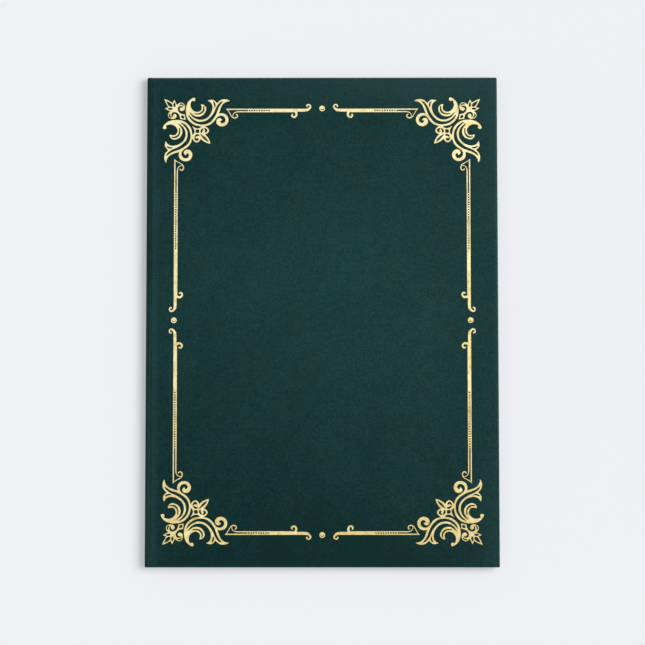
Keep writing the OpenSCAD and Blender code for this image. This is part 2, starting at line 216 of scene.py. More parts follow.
# soft-touch leatherette: fine pebbles and a mottle of two tints, paler with wear and painted sheen
#  where it is drawn over an edge, with painted light in the margins, along the spine and round the
#  middle, and painted shade in the crease beside the spine and at the bottom. A noise is given by
#  its size, detail and roughness, and a share of four numbers by its limits.
covering = {
    "dark": (0.0018, 0.0216, 0.0208),
    "light": (0.0116, 0.0510, 0.0508),
    # paler, greyer tone of wear, and of painted sheen, glow and highlights
    "worn": (0.0250, 0.0690, 0.0665),
    "olive": (1.08, 1.00, 0.94),
    "blue": (0.94, 1.00, 1.05),
    "tint": (16 * mm, 3),
    "tintShare": (0.36, 0.64, 0, 1),
    "mottle": (2.0 * mm, 4, 0.7),
    "speck": (0.9 * mm, 1),
    "patch": (22.4 * mm, 2),
    "blotch": (6 * mm, 2),
    "cloud": (45 * mm, 3),
    "mottleWeight": 1.6,
    "speckMean": 0.5,
    "speckWeight": (0.40, 0.62, 0.25, 1.5),         # by the patch that the speck is in
    "blotchWeight": 0.5,
    "cloudWeight": 0.5,
    "darker": 1.09,
    "middle": (0.002, -0.030, 0),                   # painted pool of light round the middle, where the lamp's light falls
    "middleShape": (0.7, 1, 0),
    "middleShare": (0, 166 * mm, 0.40, 0),
    "lowShade": (-endY, 60 * mm - endY, 0.34, 0),   # painted shade, darker at the middle of the bottom edge, away from the lamp at the upper right
    "lowShadeAcross": (20 * mm, openX, 1, 0),
    "pebble": 0.42 * mm,
    "pebbleDepth": 0.020 * mm,
    "betweenPebbles": (0, 0.5, 0.22, 0),
    "wave": (26 * mm, 1),
    "waveDepth": 0.10 * mm,
    "wornRim": (0, 1.8 * mm, 0.5, 0),               # wear and painted sheen by the distance from a free edge
    "wornEdge": (0, 3.4 * mm, 0.22, 0),
    # painted sheen: the edges grow paler towards the top, where the lamp is
    "wornEdgeUp": (-endY, endY, 0.3, 1.35),
    # painted glow in the top and right margins, strongest at the top right corner nearest the lamp
    "topMargin": (endY - 28 * mm, endY - 4 * mm, 0, 1),
    "topMarginAcross": (-90 * mm, 100 * mm, 0.1, 0.38),
    "sideMargin": (3 * mm, 20 * mm, 1, 0),
    "sideMarginAlong": (50 * mm, endY, 0, 0.38),
    "sideMarginUp": (-endY, endY, 0.55, 1),
    "wornFold": (0.5 * mm, 2.2 * mm, 0, 0.36),      # painted highlight by the distance from the fold
    "wornFoldEnd": (2 * mm, 6.5 * mm, 1, 0),
    "wornFoldInCrease": (0, 1, 1, 0.65),
    "wornBend": (-1.4 * mm, 1.6 * mm, 0.62, 0),
    # painted highlight on the roll of the spine
    "wornSpine": (0.5 * mm, 2.8 * mm, 0.85, 0),
    "creaseBelow": (-50 * mm, 55 * mm, 0, 1),       # the painted crease shade is deepest above the middle
    "creaseAbove": (95 * mm, 150 * mm, 1, 0.4),
    "creaseStart": (-2.0 * mm, -1.3 * mm, 0, 1),
    "creaseEnd": (0, 0.6 * mm, 0, 1),
    "creaseLoss": 0.19,                             # share of the colour that the painted crease shade takes
    "roughness": (0, 1, 0.68, 0.56),
    "specular": 0.07,
    "sheen": 0.02,
    "sheenRoughness": 0.35,
}


# share of the lighter tone, with a painted pool of light round the middle and painted shade below
def mottleShare(place):
    mottle, speck, patch, blotch, cloud = [
        noise(place, *covering[name]) for name in ("mottle", "speck", "patch", "blotch", "cloud")]
    grain = multiply(subtract(speck, covering["speckMean"]),
                     stretch(patch, covering["speckWeight"]))
    share = add(multiply(mottle, covering["mottleWeight"]), grain,
                multiply(blotch, covering["blotchWeight"]),
                multiply(cloud, covering["cloudWeight"]))
    # a painted pool of light: lighter round the middle of the cover
    toPoolCentre = addVectorMaths("MULTIPLY_ADD", place, covering["middleShape"], covering["middle"])
    poolOfPaintedLight = stretch(addVectorMaths("LENGTH", toPoolCentre), covering["middleShare"], way="SMOOTHSTEP")
    x, y, _ = splitVector(place)
    # painted shade at the middle of the bottom edge
    shade = multiply(stretch(y, covering["lowShade"]),
                     stretch(absolute(x), covering["lowShadeAcross"]))
    return add(subtract(share, shade, covering["darker"]), poolOfPaintedLight)


# share of painted light and wear: painted highlights along the spine and at the fold, a painted
# glow
#  in the top and right margins, and wear with painted sheen at the free edges
def paintedLightAndWearShare(x, y, depth):
    def shareOf(value, name):
        return stretch(value, covering[name])

    side = absolute(y)
    toOpening = subtract(openX, x)
    toEdge = addMaths("MINIMUM", toOpening, subtract(endY, side))
    fold = subtract(x, hingeX)
    return addMaths(
        "MAXIMUM",
        # painted highlight along the spine and beside the fold
        shareOf(subtract(x, spineX), "wornSpine"),
        multiply(shareOf(fold, "wornBend"), subtract(1, depth)),
        multiply(shareOf(fold, "wornFold"), shareOf(fold, "wornFoldEnd"),
                 shareOf(depth, "wornFoldInCrease")),
        # painted glow in the top and right margins
        multiply(shareOf(y, "topMargin"), shareOf(x, "topMarginAcross")),
        multiply(shareOf(toOpening, "sideMargin"), shareOf(side, "sideMarginAlong"),
                 shareOf(y, "sideMarginUp")),
        # wear with painted sheen along the free edges
        multiply(add(shareOf(toEdge, "wornEdge"), shareOf(toEdge, "wornRim")), shareOf(y, "wornEdgeUp")))


# share of the colour that is left under the painted shade in the crease beside the spine
def paintedCreaseShare(x, depth):
    fold = subtract(x, hingeX)
    hollow = subtract(stretch(fold, covering["creaseStart"]), stretch(fold, covering["creaseEnd"]))
    return subtract(1, multiply(hollow, multiply(depth, covering["creaseLoss"])))


def leatherette():
    material, place = startMaterial("leatherette")
    x, y, _ = splitVector(place)
    depth = multiply(stretch(y, covering["creaseBelow"]), stretch(y, covering["creaseAbove"]))
    grain = pebbles(place, covering["pebble"])
    shade = blendColours(mottleShare(place), covering["dark"], covering["light"])
    tint = stretch(noise(place, *covering["tint"]), covering["tintShare"])
    tints = blendColours(tint, covering["olive"], covering["blue"])
    shade = blendColours(1, shade, tints, "MULTIPLY")
    # paler where painted light and wear lie
    shade = blendColours(paintedLightAndWearShare(x, y, depth), shade, covering["worn"])
    # painted shade in the crease beside the spine
    crease = paintedCreaseShare(x, depth)
    paintedCreaseColour = addNode("ShaderNodeCombineXYZ", dict.fromkeys("XYZ", crease))[0]
    shade = blendColours(1, shade, paintedCreaseColour, "MULTIPLY")
    # painted shade in the creases between the pebbles
    shade = blendColours(stretch(grain, covering["betweenPebbles"]), shade,
                         covering["dark"], "MULTIPLY")
    waves = bump(noise(place, *covering["wave"]), covering["waveDepth"])
    return finishMaterial(material, {
        "Base Color": shade,
        "Normal": bump(grain, covering["pebbleDepth"], waves),
        "Roughness": stretch(grain, covering["roughness"]),
        "Specular IOR Level": covering["specular"],
        "Sheen Weight": covering["sheen"],
        "Sheen Roughness": covering["sheenRoughness"],
    })


# hot-stamped foil over the leather's grain, with a painted reflection: paler at the top left and
# deeper at the bottom right
foil = {
    "pale": (0.980, 0.865, 0.487),
    "deep": (0.800, 0.625, 0.252),
    "fall": (1.0, -2.2, 0),        # the way in which the painted reflection grows deeper, and where that starts
    "fallStart": 0.97,
    "cloud": (14 * mm, 3),
    "cloudWeight": 0.5,
    "patch": (3.5 * mm, 2),
    "patchWeight": 2.4,
    "scuff": (1.5 * mm, 2, 0.6),
    "scuffed": (0.58, 0.40, 0.15),
    "scuffShare": (0.50, 0.68, 0, 0.8),
    "scuffInDeep": (0, 1, 0.2, 1),
    "speck": (0.22 * mm, 2),
    "speckShare": (0.62, 0.75, 0, 0.15),
    "grain": 0.55 * mm,
    "grainDepth": 0.004 * mm,
    "roughness": (0.3, 0.7, 0.13, 0.21),
}


def goldFoil():
    material, place = startMaterial("goldFoil")
    cloud, patch, scuff, speck = [noise(place, *foil[name])
                                  for name in ("cloud", "patch", "scuff", "speck")]
    # painted reflection, paler at the top left and deeper towards the bottom right
    fall = subtract(addVectorMaths("DOT_PRODUCT", place, foil["fall"]), foil["fallStart"])
    depth = add(fall, multiply(cloud, foil["cloudWeight"]), multiply(patch, foil["patchWeight"]))
    depth = stretch(depth, (0, 1, 0, 1))
    tone = blendColours(depth, foil["pale"], foil["deep"])
    scuffs = multiply(stretch(scuff, foil["scuffShare"]), stretch(depth, foil["scuffInDeep"]))
    tone = blendColours(scuffs, tone, foil["scuffed"])
    tone = blendColours(stretch(speck, foil["speckShare"]), tone, foil["deep"], "MULTIPLY")
    return finishMaterial(material, {
        "Base Color": tone,
        "Normal": bump(pebbles(place, foil["grain"]), foil["grainDepth"]),
        "Roughness": stretch(cloud, foil["roughness"]),
        "Metallic": 1.0,
    })


# watered satin of the two panels, with a fine plain weave
satin = {
    "pale": (0.76, 0.705, 0.57),
    "shade": (0.62, 0.56, 0.43),
    "apart": (1, 1, 40),            # how far apart the figures of the two facing panels lie
    "drift": (42 * mm, 2.5),
    "driftReach": 37.8 * mm,
    "line": 2.6 * mm,
    "patch": (21 * mm, 2),
    "patchShare": (0.40, 0.62, 0.05, 1),
    "figureWeight": 0.55,
    "thread": 0.32 * mm,
    "threadDepth": 0.01 * mm,
    "roughness": (0, 1, 0.42, 0.62),
    "specular": 0.35,
    "sheen": 0.15,
}


def wateredSatin():
    material, place = startMaterial("wateredSatin")
    place = addVectorMaths("MULTIPLY", place, satin["apart"])
    x, y, _ = splitVector(place)
    drift = multiply(noise(place, *satin["drift"]), satin["driftReach"])
    lines = threads(add(y, drift), satin["line"])
    patch = noise(place, *satin["patch"])
    figure = multiply(stretch(lines, (-1, 1, 0, 1)), stretch(patch, satin["patchShare"]))
    tone = blendColours(multiply(figure, satin["figureWeight"]), satin["pale"], satin["shade"])
    weave = multiply(threads(x, satin["thread"]), threads(y, satin["thread"]))
    return finishMaterial(material, {
        "Base Color": tone,
        "Normal": bump(weave, satin["threadDepth"]),
        "Roughness": stretch(figure, satin["roughness"]),
        "Specular IOR Level": satin["specular"],
        "Sheen Weight": satin["sheen"],
    })


# ribbon satin: long threads that follow the ribbon, read from its own UV map in metres
ribbon = {
    "pale": (0.74, 0.62, 0.41),
    "shade": (0.57, 0.45, 0.26),
    "streak": (40, 2600, 1),
    "streakShare": (0.35, 0.7, 0, 0.6),
    "thread": 0.16 * mm,
    "threadDepth": 0.012 * mm,
    "roughness": (0.3, 0.7, 0.28, 0.42),
    "specular": 0.55,
    "sheen": 0.2,
    "width": 10 * mm,
    "steps": (260, 10),      # along and across
    "selvedge": 0.45,        # thickness at its two long edges, as a share
    "slack": 0.16 * mm,      # how far the ribbon stands off the panel in its middle
    "slackLost": 0.5,        # share of that lost at its long edges
    "turn": 0.22 * mm,       # inner radius of its folds
    "tail": 7 * mm,          # length glued under the panel
    "edgeWay": 3,            # way round the panel's edge, in thicknesses of the panel
}


def ribbonSatin():
    material, _ = startMaterial("ribbonSatin")
    node = material.node_tree.nodes.new("ShaderNodeUVMap")
    node.uv_map = "weave"
    weave = node.outputs["UV"]
    _, across, _ = splitVector(weave)
    streak = noise(addNode("ShaderNodeMapping", {"Vector": weave, "Scale": ribbon["streak"]})[0], 1)
    return finishMaterial(material, {
        "Base Color": blendColours(stretch(streak, ribbon["streakShare"]),
                                   ribbon["pale"], ribbon["shade"]),
        "Normal": bump(threads(across, ribbon["thread"]), ribbon["threadDepth"]),
        "Roughness": stretch(streak, ribbon["roughness"]),
        "Specular IOR Level": ribbon["specular"],
        "Sheen Weight": ribbon["sheen"],
    })


# fine laid paper cloth that lines the bends and the spine
lining = {
    "dark": (0.008, 0.036, 0.034),
    "light": (0.015, 0.056, 0.053),
    "cloud": (1.5 * mm, 4),
    "thread": 0.4 * mm,
    "threadDepth": 0.01 * mm,
    "roughness": 0.75,
    "specular": 0.2,
}


def liningCloth():
    material, place = startMaterial("liningCloth")
    _, y, _ = splitVector(place)
    return finishMaterial(material, {
        "Base Color": blendColours(noise(place, *lining["cloud"]), lining["dark"],
                                   lining["light"]),
        "Normal": bump(threads(y, lining["thread"]), lining["threadDepth"]),
        "Roughness": lining["roughness"],
        "Specular IOR Level": lining["specular"],
    })


# grey board, with fibres and darker flecks
card = {
    "pale": (0.30, 0.275, 0.23),
    "shade": (0.20, 0.18, 0.145),
    "drawnOut": (1, 0.25, 3),
    "fibre": (0.5 * mm, 4, 0.7),
    "fibreShare": (0.35, 0.7, 0, 1),
    "fibreDepth": 0.03 * mm,
    "roughness": 0.9,
}


def greyBoard():
    material, place = startMaterial("greyBoard")
    place = addNode("ShaderNodeMapping", {"Vector": place, "Scale": card["drawnOut"]})[0]
    fibre = noise(place, *card["fibre"])
    return finishMaterial(material, {
        "Base Color": blendColours(stretch(fibre, card["fibreShare"]), card["pale"],
                                   card["shade"]),
        "Normal": bump(fibre, card["fibreDepth"]),
        "Roughness": card["roughness"],
    })


materials = {
    "covering": leatherette(),
    "foil": goldFoil(),
    "panel_cloth": wateredSatin(),
    "ribbon": ribbonSatin(),
    "lining": liningCloth(),
    "board": greyBoard(),
}
print("materials made:", len(materials))


# a finished piece: closed, facing outwards, smooth except at its real edges. The front cover's
# pieces are the back cover's, turned over.
def finishPiece(mesh, name, slot, body=None, node=None, flipped=False, sharpAngle=38):
    if flipped:
        for vert in mesh.verts:
            vert.co.z = coverTop - vert.co.z
    bmesh.ops.remove_doubles(mesh, verts=mesh.verts, dist=samePoint)
    bmesh.ops.dissolve_degenerate(mesh, edges=mesh.edges, dist=samePoint / 10)
    bmesh.ops.recalc_face_normals(mesh, faces=mesh.faces)
    for face in mesh.faces:
        face.smooth = True
    for edge in mesh.edges:
        edge.smooth = edge.is_manifold and edge.calc_face_angle(0) < math.radians(sharpAngle)
    data = bpy.data.meshes.new(name)
    mesh.to_mesh(data)
    mesh.free()
    data.materials.append(materials[slot])
    piece = addObject(name, data)
    if node:
        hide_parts(node)
    if body:
        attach(piece, body)
    return piece


# a band of faces between two rings of as many points
def joinRings(mesh, first, second, closed=True):
    count = len(first)
    for k in range(count if closed else count - 1):
        after = (k + 1) % count
        mesh.faces.new((first[k], first[after], second[after], second[k]))


# one closed skin from two stacks of rings: outer rings, then the inner ones back again
def skinFromRings(outer, inner, closed):
    mesh = bmesh.new()
    rows = [[mesh.verts.new(point) for point in ring] for ring in outer + inner[::-1]]
    last = len(outer) - 1
    for i, row in enumerate(rows):
        nextRow = rows[(i + 1) % len(rows)]
        if i != last:
            joinRings(mesh, row, nextRow, closed)
            continue
        mesh.faces.new(row)
        mesh.faces.new(nextRow[::-1])
        if not closed:
            mesh.faces.new((row[0], row[-1], nextRow[-1], nextRow[0]))
    if not closed:
        for i in range(last):
            for k in (0, -1):
                mesh.faces.new((rows[i][k], rows[i + 1][k], rows[-2 - i][k], rows[-1 - i][k]))
    return mesh


# gives flat faces a thickness, and puts the faces in a fixed order
def raiseFaces(mesh, faces, height):
    made = bmesh.ops.extrude_face_region(mesh, geom=faces, use_keep_orig=True)["geom"]
    verts = [part for part in made if isinstance(part, bmesh.types.BMVert)]
    bmesh.ops.translate(mesh, verts=verts, vec=(0, 0, height))
    mesh.verts.index_update()
    count = len(mesh.verts)

    def rank(face):
        first, second, third = sorted(vert.index for vert in face.verts)[:3]
        return (first * count + second) * count + third

    mesh.faces.sort(key=rank)


# points of an arc round a centre, from one angle to another in degrees
def arcPoints(centre, radius, start, end, steps):
    angles = [math.radians(start + (end - start) * i / steps) for i in range(steps + 1)]
    return [(centre[0] + radius * math.cos(a), centre[1] + radius * math.sin(a)) for a in angles]


# the same for the two faces of a bent skin, each with its own centre and radius
def arcPairs(centre, innerCentre, radius, innerRadius, start, end, steps):
    outer = arcPoints(centre, radius, start, end, steps)
    inner = arcPoints(innerCentre, innerRadius, start, end, steps)
    return [(*point, *innerPoint) for point, innerPoint in zip(outer, inner)]


# covering of a board: turned in over three edges, with a soft crown along them, mitred corners,
# and on the front cover a low ridge where the board's edge lifts it beside the spine
cover = {
    "cornerRadius": 0.7 * mm,
    "cornerSteps": 8,
    "edgeRadius": 0.9 * mm,
    "edgeSteps": 6,
    "turnIn": 15 * mm,
    "turnInRows": (1.0, 0.66, 0.4, 0.28, 0.2, 0.15),
    "crownWidth": 5.2 * mm,
    "crownDrop": 0.19 * mm,
    "crownSteps": 10,
    "cornerGrowth": 0.9,        # how fast the corners of the crown open up inwards
    "mitreWidth": 0.3 * mm,
    "mitreDepth": 0.14 * mm,
    "ridgeHeight": 0.13 * mm,
    "ridgeFrom": 0.2 * mm,
    "ridgeTop": 1.5 * mm,
    "ridgeTo": 6 * mm,
    "ridgeSteps": 16,
    "ridgeDepth": 0.9,          # share of the covering's thickness that the ridge reaches into
}


# an outline at some inset: along the bottom edge, up the opening edge and back along the top,
# sunk by the mitre's drop in the middle of its corners
def coverRing(inset, height, radius, drop=0.0):
    steps = cover["cornerSteps"]
    x, y = openX - inset, endY - inset
    points = [(hingeX, -y, height)]
    for side, start in ((-1, -90), (1, 0)):
        centre = (x - radius, side * (y - radius))
        for i, (px, py) in enumerate(arcPoints(centre, radius, start, start + 90, steps)):
            points.append((px, py, height - drop * (1 - (2 * i / steps - 1) ** 2)))
    points.append((hingeX, y, height))
    return points


# rows from the turned-in edge round to the face: inset, height, plan radius and mitre depth of
# the skin, with the inset and height of its inner face
def coverSection():
    radius, corner = cover["edgeRadius"], cover["cornerRadius"]
    drop, thick = cover["crownDrop"], coveringThick
    rows = []
    for share in cover["turnInRows"]:
        inset = cover["turnIn"] * share
        plan = max(cover["mitreWidth"], corner - (inset - radius))
        depth = cover["mitreDepth"] if inset > radius + corner else 0
        rows.append((inset, insideZ, plan, depth, inset, insideZ - thick))
    for start, middle, innerMiddle in ((90, insideZ - radius, insideZ - radius),
                                       (180, radius + drop, radius)):
        skin = arcPairs((radius, middle), (radius, innerMiddle), radius, radius - thick,
                        start, start + 90, cover["edgeSteps"])
        rows += [(inset, z, corner, 0, *inner) for inset, z, *inner in skin]
    for i in range(1, cover["crownSteps"] + 1):
        share = i / cover["crownSteps"]
        inset = radius + (cover["crownWidth"] - radius) * share
        plan = corner + cover["cornerGrowth"] * (inset - radius)
        rows.append((inset, drop * (1 - share) ** 2, plan, 0, inset, thick))
    return rows


# the ridge runs the whole height of the cover, and lies under it until the cover is turned over
def raiseRidge(mesh):
    first, top, last = (hingeX + cover[name] for name in ("ridgeFrom", "ridgeTop", "ridgeTo"))
    steps = cover["ridgeSteps"]
    for i in range(steps + 1):
        geometry = mesh.verts[:] + mesh.edges[:] + mesh.faces[:]
        bmesh.ops.bisect_plane(mesh, geom=geometry, plane_no=(1, 0, 0),
                               plane_co=(first + (last - first) * i / steps, 0, 0))
    for vert in mesh.verts:
        x, z = vert.co.x, vert.co.z
        if not first < x < last or z > coveringThick * cover["ridgeDepth"]:
            continue
        share = (x - first) / (top - first) if x < top else (last - x) / (last - top)
        share = share * share * (3 - 2 * share)
        vert.co.z -= cover["ridgeHeight"] * share * (1 - z / coveringThick)


def addCovering(side, flipped):
    rows = coverSection()
    outer = [coverRing(inset, z, plan, depth) for inset, z, plan, depth, _, _ in rows]
    inner = [coverRing(inset, z, plan) for _, _, plan, _, inset, z in rows]
    mesh = skinFromRings(outer, inner, closed=False)
    if flipped:
        raiseRidge(mesh)
    piece = finishPiece(mesh, side + "Covering", "covering", side + "_cover", side + "_wrap",
                        flipped)


addCovering("back", flipped=False)
addCovering("front", flipped=True)
print("coverings made")


# a long strip whose cross section is given at stations along Y, each as two rows of points
def stripFromStations(stations):
    mesh = bmesh.new()
    loops = [[mesh.verts.new((x, y, z)) for x, z in outer + inner[::-1]]
             for y, outer, inner in stations]
    for first, second in zip(loops, loops[1:]):
        joinRings(mesh, first, second)
    count = len(loops[0])
    for loop in (loops[0], loops[-1]):
        for k in range(count // 2 - 1):
            mesh.faces.new((loop[k], loop[k + 1], loop[count - 2 - k], loop[count - 1 - k]))
    return mesh


# stations at both ends of a strip, with the distance by which its faces are drawn in there
def hemStations(length, radius, steps=5):
    ends = sorted(arcPoints((length - radius, radius), radius, 0, -90, steps))
    return [(-y, inset) for y, inset in ends[::-1]] + ends


# the two bends beside the spine: covering outside, lining inside
bend = {
    "steps": 14,
    "hem": 0.34 * mm,
    "liningShort": 0.4 * mm,    # the lining ends this far from the covering's ends
    "liningHem": 0.12 * mm,
    "edgeSteps": 5,
}


def bendArc(radius):
    return arcPoints((hingeX, bendRadius), radius, 270, 180, bend["steps"])


# a strip that rolls between a cover and the spine
def finishBend(stations, name, slot, node, flipped):
    piece = finishPiece(stripFromStations(stations), name, slot, node=node, flipped=flipped)
    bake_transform(piece)


# past the lining's ends the covering fills its place too
def addBend(side, flipped):
    stations = []
    for y, inset in hemStations(endY, bend["hem"]):
        pastLining = abs(y) > endY - bend["liningShort"]
        deep = coveringThick + (liningThick if pastLining else 0)
        stations.append((y, bendArc(bendRadius - inset), bendArc(bendRadius - deep + inset)))
    finishBend(stations, side + "Bend", "covering", side + "_joint_wrap", flipped)


def addBendLining(side, flipped):
    outer = bendRadius - coveringThick
    stations = [(y, bendArc(outer - inset), bendArc(outer - liningThick + inset))
                for y, inset in hemStations(endY - bend["liningShort"], bend["liningHem"])]
    finishBend(stations, side + "BendLining", "lining", side + "_joint_lining", flipped)


# the lining where it runs down the board's edge, rounded where it turns in
def addEdgeLining(side, flipped):
    low, high = coveringThick + liningThick / 2, insideZ
    stations = []
    for y, inset in hemStations(endY - bend["liningShort"], bend["liningHem"]):
        arc = arcPoints((hingeX, high - liningThick), liningThick - inset, 180, 90,
                        bend["edgeSteps"])
        outer = [(hingeX - liningThick + inset, low)] + arc
        x = hingeX - inset / 2
        inner = [(x, low)] + [(x, min(z, high - inset)) for _, z in arc]
        stations.append((y, outer, inner))
    finishPiece(stripFromStations(stations), side + "EdgeLining", "lining",
                "front_cover" if flipped else "back_cover", side + "_joint_lining", flipped)


for addStrip in (addBend, addBendLining, addEdgeLining):
    addStrip("rear", flipped=False)
    addStrip("front", flipped=True)
print("bends made")


# flat back of the spine, with its covering folded over both ends of the stiffening strip
spine = {"endRadius": 0.45 * mm, "steps": 5}


def addSpineCovering():
    low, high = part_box("spine_wrap")
    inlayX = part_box("spine_inlay")[0].x
    radius = spine["endRadius"]
    outer = [(high.x, endY - coveringThick)]
    outer += arcPoints((high.x - radius, endY - radius), radius, 0, 90, spine["steps"])
    outer += arcPoints((low.x + radius, endY - radius), radius, 90, 180, spine["steps"])
    outer += [(x, -y) for x, y in outer[::-1]]
    inner = [(inlayX, endY - coveringThick), (inlayX, coveringThick - endY)]
    mesh = bmesh.new()
    face = mesh.faces.new([mesh.verts.new((x, y, low.z)) for x, y in outer + inner[::-1]])
    raiseFaces(mesh, [face], high.z - low.z)
    finishPiece(mesh, "spineCovering", "covering", "spine", "spine_wrap")


def addSpineLining():
    low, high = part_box("spine_lining")
    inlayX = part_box("spine_inlay")[1].x
    stations = [(y, [(high.x - inset, z) for z in (low.z, high.z)],
                 [(inlayX + inset, z) for z in (low.z, high.z)])
                for y, inset in hemStations(high.y, bend["liningHem"])]
    finishPiece(stripFromStations(stations), "spineLining", "lining", "spine", "spine_lining")


addSpineCovering()
addSpineLining()
print("spine made")


# strip of covering between each panel and the spine
gutter = {"edge": 0.12 * mm, "edgeSteps": 4}


def addGutter(side, flipped):
    low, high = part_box("back_gutter_strip")
    edge = gutter["edge"]
    stations = []
    for y, inset in hemStations(high.y, edge):
        outer = [(low.x, high.z - inset)]
        outer += arcPoints((high.x - edge, high.z - edge), edge - inset, 90, 0, gutter["edgeSteps"])
        inner = [(low.x, low.z)] + [(x, low.z) for x, _ in outer[1:]]
        stations.append((y, outer, inner))
    piece = finishPiece(stripFromStations(stations), side + "Gutter", "covering",
                        side + "_cover", side + "_gutter_strip", flipped)


addGutter("back", flipped=False)
addGutter("front", flipped=True)
print("gutter strips made")


# cloth over a panel's card, drawn tight round soft edges
panel = {
    "cornerRadius": 0.55 * mm,
    "leastRadius": 0.2 * mm,
    "cornerSteps": 5,
    "edgeRadius": 0.32 * mm,
    "edgeSteps": 6,
    "foot": 0.1 * mm,
    "crown": 0.04 * mm,
    "crownWidth": 9 * mm,
    "crownSteps": 5,
}


def panelRing(inset, height):
    radius = max(panel["cornerRadius"] - inset, panel["leastRadius"])
    x0, x1 = panelLow.x + inset, panelHigh.x - inset
    y1 = panelHigh.y - inset
    points = []
    for sx, sy, start in ((1, -1, -90), (1, 1, 0), (-1, 1, 90), (-1, -1, 180)):
        centre = ((x1 - radius) if sx > 0 else (x0 + radius), sy * (y1 - radius))
        arc = arcPoints(centre, radius, start, start + 90, panel["cornerSteps"])
        points += [(x, y, height) for x, y in arc]
    return points


def addPanelCloth(side, flipped):
    radius, thick = panel["edgeRadius"], clothThick
    low, high = panelLow.z, panelHigh.z - panel["crown"]
    rows = [(0, z, thick, z) for z in (low, low + panel["foot"])]
    middle = (radius, high - radius)
    rows += arcPairs(middle, middle, radius, radius - thick, 180, 90, panel["edgeSteps"])
    for i in range(1, panel["crownSteps"] + 1):
        share = i / panel["crownSteps"]
        rise = panel["crown"] * (1 - (1 - share) ** 2)
        inset = radius + panel["crownWidth"] * share
        rows.append((inset, high + rise, inset, high - thick + rise))
    outer = [panelRing(inset, z) for inset, z, _, _ in rows]
    inner = [panelRing(inset, z) for _, _, inset, z in rows]
    piece = finishPiece(skinFromRings(outer, inner, closed=True), side + "PanelCloth",
                        "panel_cloth", side + "_cover", side + "_panel_cloth", flipped)


addPanelCloth("back", flipped=False)
addPanelCloth("front", flipped=True)
print("panels made")


# bends a flat strip over a straight edge: the distance past the edge runs down and then under
def foldOver(past, height, drop):
    radius = ribbon["turn"] + height
    quarter = radius * math.pi / 2
    if past <= 0:
        return past, height
    if past < quarter:
        angle = past / radius
        return radius * math.sin(angle), height - radius * (1 - math.cos(angle))
    past -= quarter
    wall = drop - 2 * ribbon["turn"]
    if past < wall:
        return radius, height - radius - past
    past -= wall
    if past < quarter:
        angle = past / radius
        return radius * math.cos(angle), height - radius - wall - radius * math.sin(angle)
    return -(past - quarter), height - 2 * radius - wall


# a satin ribbon laid across one corner of the back panel and folded under its edges: a runs along
# it and b across it, from the middle, and x and y are counted inwards from the panel's corner
def addRibbon(name, node, sx, sy):
    low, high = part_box(node)
    width = ribbon["width"]
    thick = high.z - panelHigh.z
    cornerX = panelHigh.x if sx > 0 else panelLow.x
    cornerY = sy * panelHigh.y
    reach = (max(abs(low.y), abs(high.y)) - min(abs(low.y), abs(high.y)) - thick) / math.sqrt(2)
    middle = reach - width / 2
    drop = panelHigh.z - panelLow.z
    half = middle + ribbon["tail"] + ribbon["edgeWay"] * drop
    stepsAlong, stepsAcross = ribbon["steps"]
    selvedge = ribbon["selvedge"] * thick / 2
    top, bottom = [], []
    for i in range(stepsAcross + 1):
        b = -width / 2 + width * i / stepsAcross
        rise = selvedge if i in (0, stepsAcross) else thick / 2
        top.append((b, thick / 2 + rise))
        bottom.append((b, thick / 2 - rise))
    loop = top + bottom[::-1]
    mesh = bmesh.new()
    weave = mesh.loops.layers.uv.new("weave")
    rings = []
    marks = {}
    for i in range(stepsAlong + 1):
        a = half * (2 * i / stepsAlong - 1)
        ring = []
        for b, level in loop:
            lift = ribbon["slack"] * max(0.0, 1 - (a / middle) ** 2)
            lift *= 1 - ribbon["slackLost"] * (2 * b / width) ** 2
            inward = (middle + b) / math.sqrt(2)
            x, y = inward - a / math.sqrt(2), inward + a / math.sqrt(2)
            pastX, z = foldOver(-x, level + (lift if min(x, y) > 0 else 0), drop)
            pastY = -y
            if y < 0:
                pastY, z = foldOver(-y, level, drop)
            vert = mesh.verts.new((cornerX + sx * pastX, cornerY + sy * pastY, panelHigh.z + z))
            marks[vert] = (a, b)
            ring.append(vert)
        rings.append(ring)
    for first, second in zip(rings, rings[1:]):
        joinRings(mesh, first, second)
    for ring in (rings[0], rings[-1]):
        mesh.faces.new(ring)
    for face in mesh.faces:
        for corner in face.loops:
            corner[weave].uv = marks[corner.vert]
    piece = finishPiece(mesh, name, "ribbon", "back_cover", node, sharpAngle=70)


addRibbon("ribbonTopLeft", "ribbon_top_left", -1, 1)
addRibbon("ribbonTopRight", "ribbon_top_right", 1, 1)
addRibbon("ribbonBottomLeft", "ribbon_bottom_left", -1, -1)
addRibbon("ribbonBottomRight", "ribbon_bottom_right", 1, -1)
print("ribbons made")


# foil: the stamped outlines of the model, drawn smooth and a little finer
stamp = {
    "steps": 4,
    "cornerAngle": 56,
    "speckSize": 0.3 * mm,      # outlines smaller than this are flaws,
    "gapSize": 2 * mm,          # and smaller than this are gaps between beads
    "drawnIn": 0.18 * mm,       # how far an outline is moved into the foil
    "gapDrawnIn": 0.19 * mm,
    "dotGapSize": 4 * mm,       # the same for a dot and the ring in it
    "dotDrawnIn": 0.28 * mm,
    "dotGapDrawnIn": 0,
    "dotDiscSize": 3 * mm,      # the disc inside that ring sits a little high
    "dotDiscLift": Vector((0, 0.38 * mm, 0)),
    "leastReach": 0.5,          # keeps a sharp corner from being moved too far
    "sameSpot": 1e-5,           # millimetres
    "fit": Vector((0.9985, 0.9976, 1.0)),    # the whole border is laid a little further in
    "shift": Vector((0.15 * mm, 0.14 * mm, 0.0)),
}


